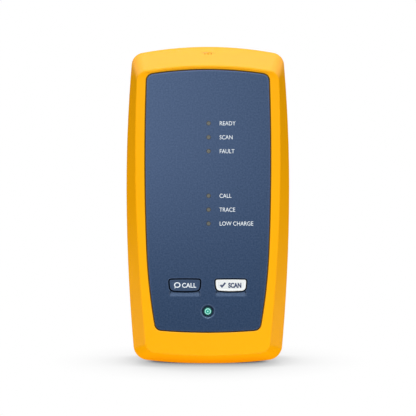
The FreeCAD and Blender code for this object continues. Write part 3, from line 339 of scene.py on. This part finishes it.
def greenMaterial(look):
    material, tree = newMaterial("tinted green silicone")
    shader = addNode(tree, "ShaderNodeBsdfPrincipled", None,
                     {"Base Color": rimColour(tree, "power_keycap", look), "Roughness": look["roughness"],
                      "IOR": look["ior"], "Subsurface Weight": look["milk"],
                      "Subsurface Radius": look["milkRadius"], "Subsurface Scale": look["depth"] * mm})
    finishMaterial(tree, shader)
    return material


# clear polycarbonate light pipe, unlit: grey-brown in the middle, with painted shade at its rim where it
# meets the panel
clearPipe = {"middle": "50524A", "rim": "3A3B36", "rimSpan": (0.3, 0.7), "roughness": 0.25, "ior": 1.58}


def pipeMaterial(node, look):
    material, tree = newMaterial("clear polycarbonate " + node)
    shader = addNode(tree, "ShaderNodeBsdfPrincipled", None,
                     {"Base Color": rimColour(tree, node, look), "Roughness": look["roughness"],
                      "IOR": look["ior"]})
    finishMaterial(tree, shader)
    return material


# what all plated metals share: how the streaks are layered, and how strongly they stand up
plating = {"streakDetail": 3.0, "bump": 0.2}


# rolled or plated metal: brushed streaks along one axis break up the reflection
def platedMetal(name, look):
    material, tree = newMaterial(name)
    stretched = addNode(tree, "ShaderNodeMapping", None,
                        {"Vector": placeOf(tree), "Scale": (look["stretch"], look["stretch"], 1.0)})
    streaks = addNode(tree, "ShaderNodeTexNoise", None,
                      {"Vector": stretched.outputs["Vector"], "Scale": perMetre(look["streak"]),
                       "Detail": plating["streakDetail"]})
    rough = addNode(tree, "ShaderNodeMapRange", None,
                    {"Value": streaks.outputs["Fac"], "To Min": look["smooth"], "To Max": look["rough"]})
    edge = addNode(tree, "ShaderNodeBevel", {"samples": moulding["edgeSamples"]},
                   {"Radius": look["edge"] * mm})
    bump = addNode(tree, "ShaderNodeBump", None,
                   {"Height": streaks.outputs["Fac"], "Strength": plating["bump"],
                    "Distance": look["depth"] * mm, "Normal": edge.outputs["Normal"]})
    shader = addNode(tree, "ShaderNodeBsdfPrincipled", None,
                     {"Base Color": hexColour(look["colour"]), "Metallic": 1.0,
                      "Roughness": rough.outputs["Result"], "Normal": bump.outputs["Normal"]})
    finishMaterial(tree, shader)
    return material


# zinc-plated steel of the screws: mid grey with blurred streaks
zincSteel = {"colour": "A4A7AB", "smooth": 0.28, "rough": 0.45, "streak": 0.6, "stretch": 0.3,
             "edge": 0.2, "depth": 0.01}

# tinned steel of the cans and sockets: paler, with longer streaks
tinnedSteel = {"colour": "BEC1C4", "smooth": 0.25, "rough": 0.4, "streak": 1.0, "stretch": 0.2,
               "edge": 0.1, "depth": 0.01}

# gold flash on the contacts: warm, bright and even
goldFlash = {"colour": "D9B25E", "smooth": 0.2, "rough": 0.32, "streak": 0.5, "stretch": 1.0,
             "edge": 0.1, "depth": 0.005}

# FR4 laminate under green solder mask: faint weave of the glass cloth
greenMask = {"pale": "24643C", "deep": "1B5231", "cloth": 0.6, "bump": 0.3, "depth": 0.01,
             "roughness": 0.35, "ior": 1.5}


def boardMaterial(look):
    material, tree = newMaterial("solder-masked FR4")
    place = placeOf(tree)
    weaves = [addNode(tree, "ShaderNodeTexWave", {"wave_type": "BANDS", "bands_direction": axis},
                      {"Vector": place, "Scale": perMetre(look["cloth"]) / math.tau})
              for axis in ("X", "Z")]
    cloth = addNode(tree, "ShaderNodeMath", {"operation": "MULTIPLY"},
                    {0: weaves[0].outputs["Fac"], 1: weaves[1].outputs["Fac"]})
    colour = addNode(tree, "ShaderNodeMix", {"data_type": "RGBA"},
                     {0: cloth.outputs["Value"], 6: hexColour(look["deep"]), 7: hexColour(look["pale"])})
    bump = addNode(tree, "ShaderNodeBump", None,
                   {"Height": cloth.outputs["Value"], "Strength": look["bump"],
                    "Distance": look["depth"] * mm})
    shader = addNode(tree, "ShaderNodeBsdfPrincipled", None,
                     {"Base Color": colour.outputs[2], "Roughness": look["roughness"], "IOR": look["ior"],
                      "Normal": bump.outputs["Normal"]})
    finishMaterial(tree, shader)
    return material


finishes = {
    "bezel_yellow": mouldedPlastic("moulded yellow ABS", yellowAbs),
    "panel_blue": panelMaterial(slatePanel),
    "case_charcoal": mouldedPlastic("moulded charcoal ABS", charcoalAbs),
    "stand_charcoal": mouldedPlastic("moulded charcoal ABS, smooth", charcoalStand),
    "key_blue": mouldedPlastic("moulded slate polycarbonate", slateKey),
    "key_white": mouldedPlastic("moulded white polycarbonate", whiteKey),
    "key_green": greenMaterial(greenSilicone),
    "boot_black": mouldedPlastic("moulded black silicone", blackSilicone),
    "boot_pale": mouldedPlastic("moulded grey silicone", paleSilicone),
    "gasket_black": mouldedPlastic("closed-cell black foam", blackFoam),
    "lamp_white": mouldedPlastic("cast lamp epoxy", lampEpoxy),
    "board_green": boardMaterial(greenMask),
    "tin_plate": platedMetal("tinned steel", tinnedSteel),
    "screw_steel": platedMetal("zinc-plated steel", zincSteel),
    "contact_gold": platedMetal("gold-flashed bronze", goldFlash),
    "connector_black": mouldedPlastic("glass-filled black nylon", blackNylon),
    "ribbon_white": mouldedPlastic("extruded white PVC", whitePvc),
}
for part in frame["record"]["subparts"]:
    node, slot = part["node"], part["material_slot"]
    if slot == "lens_clear":
        finish = pipeMaterial(node, clearPipe)
    else:
        finish = finishes["boot_pale" if node == "power_boot" else slot]
    mesh = frame["nodes"][node].data
    mesh.materials.clear()
    mesh.materials.append(finish)
print("finishes:", len(bpy.data.materials))

# pad-printed ink: thin, dense and slightly satin, with the faint mottle of the pad
padInk = {"white": "E9F1F7", "slate": "22345C", "mint": "B4F4F0",
          "mottle": 0.5, "smooth": 0.45, "rough": 0.6, "specular": 0.3}


def printedInk(look, tint):
    material, tree = newMaterial("pad-printed " + tint + " ink")
    mottle = addNode(tree, "ShaderNodeTexNoise", None,
                     {"Vector": placeOf(tree), "Scale": perMetre(look["mottle"])})
    rough = addNode(tree, "ShaderNodeMapRange", None,
                    {"Value": mottle.outputs["Fac"], "To Min": look["smooth"], "To Max": look["rough"]})
    shader = addNode(tree, "ShaderNodeBsdfPrincipled", None,
                     {"Base Color": hexColour(look[tint]), "Roughness": rough.outputs["Result"],
                      "Specular IOR Level": look["specular"]})
    finishMaterial(tree, shader)
    return material


whiteInk = printedInk(padInk, "white")
slateInk = printedInk(padInk, "slate")
mintInk = printedInk(padInk, "mint")


def seat(piece, body, ink):
    bpy.context.scene.collection.objects.link(piece)
    piece.data.materials.append(ink)
    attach(piece, body)


# words stand upright on a face that looks towards -Y; a width in mm stretches them to fit
# the letter H is set first, to find the size that gives the capitals their height
def printWords(name, words, look, x, y, z, body, ink, width=None):
    curve = bpy.data.curves.new(name, "FONT")
    curve.body = "H"
    curve.resolution_u = look["curveSteps"]
    piece = bpy.data.objects.new(name, curve)
    seat(piece, body, ink)
    bpy.context.view_layer.update()
    curve.size = look["capHeight"] * mm / piece.dimensions.y
    curve.body = words
    curve.extrude = look["ink"] * mm
    curve.offset = look["weight"] * mm
    bpy.context.view_layer.update()
    stretch = width * mm / piece.dimensions.x if width else look["stretch"]
    piece.matrix_world = (Matrix.Translation((x, y, z - look["capHeight"] * mm / 2))
                          @ Matrix.Rotation(math.pi / 2, 4, "X") @ Matrix.Diagonal((stretch, 1, 1, 1)))
    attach(piece, body)


# flat or domed signs: rows of points in mm about (x, z), joined row to row into a strip
def printStrip(name, rows, x, y, z, body, ink, drop=lambda across, up: 0.0):
    mesh = bpy.data.meshes.new(name)
    points = [(x + px * mm, y + drop(px, pz) * mm, z + pz * mm) for row in rows for px, pz in row]
    width = len(rows[0])
    faces = [(i * width + k, i * width + k + 1, (i + 1) * width + k + 1, (i + 1) * width + k)
             for i in range(len(rows) - 1) for k in range(width - 1)]
    mesh.from_pydata(points, [], faces)
    piece = bpy.data.objects.new(name, mesh)
    seat(piece, body, ink)


def ringRows(inner, outer, squash=1.0, steps=48):
    turns = [math.tau * i / steps for i in range(steps + 1)]
    return [[(r * math.cos(turn), squash * r * math.sin(turn)) for r in (inner, outer)] for turn in turns]


# function words beside the lamps, left-aligned
lampLabels = {"capHeight": 3.25, "gap": 6.1, "lift": 0.02, "stretch": 0.88, "weight": 0.0, "ink": 0.006,
              "curveSteps": 6,
              "words": {"ready": "READY", "busy": "SCAN", "fault": "FAULT",
                        "voice": "CALL", "trace": "TRACE", "charge": "LOW CHARGE"}}


def labelLamps(look):
    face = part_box("control_panel")[0].y
    for lamp, words in look["words"].items():
        low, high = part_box(lamp + "_lens")
        printWords(lamp + "_label", words, look, high.x + look["gap"] * mm, face - look["lift"] * mm,
                   (low.z + high.z) / 2, "tester", whiteInk)


labelLamps(lampLabels)
print("lamp labels:", len(lampLabels["words"]))

# a sign and a word on each wide key, printed on the floor of its dish
# a word is its start, its width and its letters; signs are placed and drawn from the key's middle
keyPrints = {"capHeight": 3.6, "ink": 0.006, "dish": 0.25, "lift": 0.02, "curveSteps": 6,
             "voiceWord": (-2.4, 11.5, "CALL"), "voiceWeight": 0.08,
             "bubble": (-6.1, 0.3), "bubbleRing": (1.75, 2.6, 0.86),
             "bubbleTail": [((-1.9, -1.2), (-0.7, -1.95)), ((-2.3, -2.75), (-2.25, -2.85))],
             "startWord": (-2.1, 10.6, "SCAN"), "startWeight": 0.26,
             "tick": (-6.5, 0.0),
             "tickStroke": [((-2.45, -0.15), (-1.5, 0.85)), ((-0.75, -2.15), (-0.7, -0.05)),
                            ((2.5, 1.65), (1.5, 2.5))]}


def printKeys(look):
    for key, ink, slotName in (("voice", whiteInk, "key_blue"), ("start", slateInk, "key_white")):
        low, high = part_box(key + "_keycap")
        middle = (low + high) / 2
        face = low.y + (look["dish"] - look["lift"]) * mm
        across, width, word = look[key + "Word"]
        lettering = dict(look, weight=look[key + "Weight"])
        printWords(key + "_word", word, lettering, middle.x + across * mm, face, middle.z, key + "_key",
                   ink, width)
        if key == "voice":
            x, z = middle.x + look["bubble"][0] * mm, middle.z + look["bubble"][1] * mm
            printStrip("bubble_sign", ringRows(*look["bubbleRing"]), x, face, z, "voice_key", ink)
            printStrip("bubble_tail", look["bubbleTail"], x, face, z, "voice_key", ink)
        else:
            x, z = middle.x + look["tick"][0] * mm, middle.z + look["tick"][1] * mm
            printStrip("tick_sign", look["tickStroke"], x, face, z, "start_key", ink)


printKeys(keyPrints)

# ring and dot on the power key, which follow its dome; each is an inner and an outer radius
powerSign = {"ring": (1.86, 2.38), "dot": (0.01, 0.5), "dome": 8.05, "lift": 0.02}


def printPower(look):
    low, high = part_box("power_keycap")
    x, z = (low.x + high.x) / 2, (low.z + high.z) / 2

    def drop(across, up):
        return look["dome"] - math.sqrt(look["dome"] ** 2 - across ** 2 - up ** 2) - look["lift"]

    for sign in ("ring", "dot"):
        printStrip("power_" + sign, ringRows(*look[sign]), x, low.y, z, "power_key", mintInk,
                   drop)


printPower(powerSign)
print("key prints: 2 words, 3 signs")


# softboxes above and in front, and a light table of white acrylic that glows a little from below
# places and sizes here are in metres; the painted shadow's tones go from a hidden floor to an open one
studio = {"worldLevel": 0.5, "table": "CCCCCC", "tableReach": 0.45, "tableFade": 1.2, "tableGlow": 0.46,
          "floorReach": 4.0, "floorDrop": 0.00005, "shadowReach": 0.1, "shadowSamples": 32,
          "shadowTones": [(0.0, 0.0), (0.08, 0.41), (0.165, 0.55), (0.34, 0.62), (0.56, 0.74),
                          (0.71, 0.89), (0.82, 0.956), (0.93, 1.0)],
          "softboxes": {
              "back": {"at": (0.0, 0.27, 1.15), "aim": (0.0, 0.0, 0.2), "size": (1.0, 0.16), "power": 4.4,
                       "shine": False},
              "top": {"at": (0.0, -0.76, 1.0), "aim": (0.0, 0.0, 0.1), "size": (0.7, 0.5), "power": 7.2,
                      "shine": True},
              "front": {"at": (0.0, -1.7, 0.4), "aim": (0.0, 0.0, 0.13), "size": (1.2, 0.6), "power": 3.5,
                        "shine": True}}}


# one for rays that show the surroundings as such: to the camera, in gloss and through glass
def shownRays(tree):
    path = addNode(tree, "ShaderNodeLightPath")
    seen = addNode(tree, "ShaderNodeMath", {"operation": "MAXIMUM"},
                   {0: path.outputs["Is Camera Ray"], 1: path.outputs["Is Glossy Ray"]})
    shown = addNode(tree, "ShaderNodeMath", {"operation": "MAXIMUM"},
                    {0: seen.outputs["Value"], 1: path.outputs["Is Transmission Ray"]})
    return shown.outputs["Value"]


def lookAt(place, target):
    return (Vector(target) - Vector(place)).to_track_quat("-Z", "Y")


def lightStudio(look):
    for name, box in look["softboxes"].items():
        lamp = bpy.data.lights.new(name, "AREA")
        lamp.shape = "RECTANGLE"
        lamp.size, lamp.size_y = box["size"]
        lamp.energy = box["power"]
        holder = bpy.data.objects.new(name, lamp)
        holder.visible_glossy = box["shine"]
        holder.location = box["at"]
        holder.rotation_euler = lookAt(box["at"], box["aim"]).to_euler()
        bpy.context.scene.collection.objects.link(holder)
    world = bpy.data.worlds.new("studio")
    bpy.context.scene.world = world
    world.use_nodes = True
    tree = world.node_tree
    tree.nodes.clear()
    level = addNode(tree, "ShaderNodeMapRange", None,
                    {"Value": shownRays(tree), "To Min": look["worldLevel"], "To Max": 1.0})
    light = addNode(tree, "ShaderNodeBackground", None,
                    {"Color": (1.0, 1.0, 1.0, 1.0), "Strength": level.outputs["Result"]})
    addNode(tree, "ShaderNodeOutputWorld", inputs={"Surface": light.outputs["Background"]})


# white acrylic: lights the object from below within the table's reach, and shows as white with a soft
# painted shadow, set by how hidden the floor is, where the object hides it
def acrylicMaterial(look):
    material, tree = newMaterial("white acrylic light table")
    shown = shownRays(tree)
    away = addNode(tree, "ShaderNodeVectorMath", {"operation": "LENGTH"}, {0: placeOf(tree)})
    within = addNode(tree, "ShaderNodeMapRange", {"interpolation_type": "SMOOTHSTEP"},
                     {"Value": away.outputs["Value"], "From Min": look["tableReach"],
                      "From Max": look["tableFade"] * look["tableReach"], "To Min": 1.0, "To Max": 0.0})
    tone = addNode(tree, "ShaderNodeMix", {"data_type": "RGBA"},
                   {0: within.outputs["Result"], 6: (0.0, 0.0, 0.0, 1.0), 7: hexColour(look["table"])})
    lit = addNode(tree, "ShaderNodeMath", {"operation": "MULTIPLY"},
                  {0: within.outputs["Result"], 1: look["tableGlow"]})
    matt = addNode(tree, "ShaderNodeBsdfDiffuse", None, {"Color": tone.outputs[2]})
    glow = addNode(tree, "ShaderNodeEmission", None, {"Strength": lit.outputs["Value"]})
    table = addNode(tree, "ShaderNodeAddShader", None,
                    {0: matt.outputs["BSDF"], 1: glow.outputs["Emission"]})
    # painted shadow: the floor's brightness to the camera follows how hidden it is
    hidden = addNode(tree, "ShaderNodeAmbientOcclusion", {"samples": look["shadowSamples"]},
                     {"Distance": look["shadowReach"]})
    shade = addNode(tree, "ShaderNodeValToRGB", None, {"Fac": hidden.outputs["AO"]})
    stops = shade.color_ramp.elements
    for i, (position, grey) in enumerate(look["shadowTones"]):
        stop = stops[i] if i < 2 else stops.new(position)
        stop.position = position
        stop.color = (grey, grey, grey, 1.0)
    backdrop = addNode(tree, "ShaderNodeEmission", None, {"Color": shade.outputs["Color"], "Strength": 1.0})
    both = addNode(tree, "ShaderNodeMixShader", None,
                   {0: shown, 1: table.outputs["Shader"], 2: backdrop.outputs["Emission"]})
    finishMaterial(tree, both)
    return material


# the floor lies a hair below the foot
def layFloor(look):
    mesh = bpy.data.meshes.new("floor")
    reach = look["floorReach"]
    corners = [(-reach, -reach, 0), (reach, -reach, 0), (reach, reach, 0), (-reach, reach, 0)]
    mesh.from_pydata(corners, [], [(0, 1, 2, 3)])
    mesh.materials.append(acrylicMaterial(look))
    floor = bpy.data.objects.new("floor", mesh)
    floor.location.z = -look["floorDrop"]
    bpy.context.scene.collection.objects.link(floor)


lightStudio(studio)
layFloor(studio)
print("studio:", len(studio["softboxes"]), "softboxes")


# straight on, a little above the middle; lengths in mm
view = {"elevation": 5.0, "distance": 1900.0, "frameWidth": 340.8, "sensor": 36.0, "farClip": 20000.0,
        "aim": (0.12, -12.0, 128.23)}


def setCamera(look):
    data = bpy.data.cameras.new("camera")
    data.sensor_width = look["sensor"]
    data.lens = look["sensor"] * look["distance"] / look["frameWidth"]
    data.clip_end = look["farClip"] * mm
    camera = bpy.data.objects.new("camera", data)
    tilt = math.radians(look["elevation"])
    aim = Vector(look["aim"]) * mm
    camera.location = aim + Vector((0, -math.cos(tilt), math.sin(tilt))) * look["distance"] * mm
    camera.rotation_euler = lookAt(camera.location, aim).to_euler()
    bpy.context.scene.collection.objects.link(camera)
    bpy.context.scene.camera = camera


setCamera(view)
bpy.context.scene.view_settings.view_transform = "Standard"
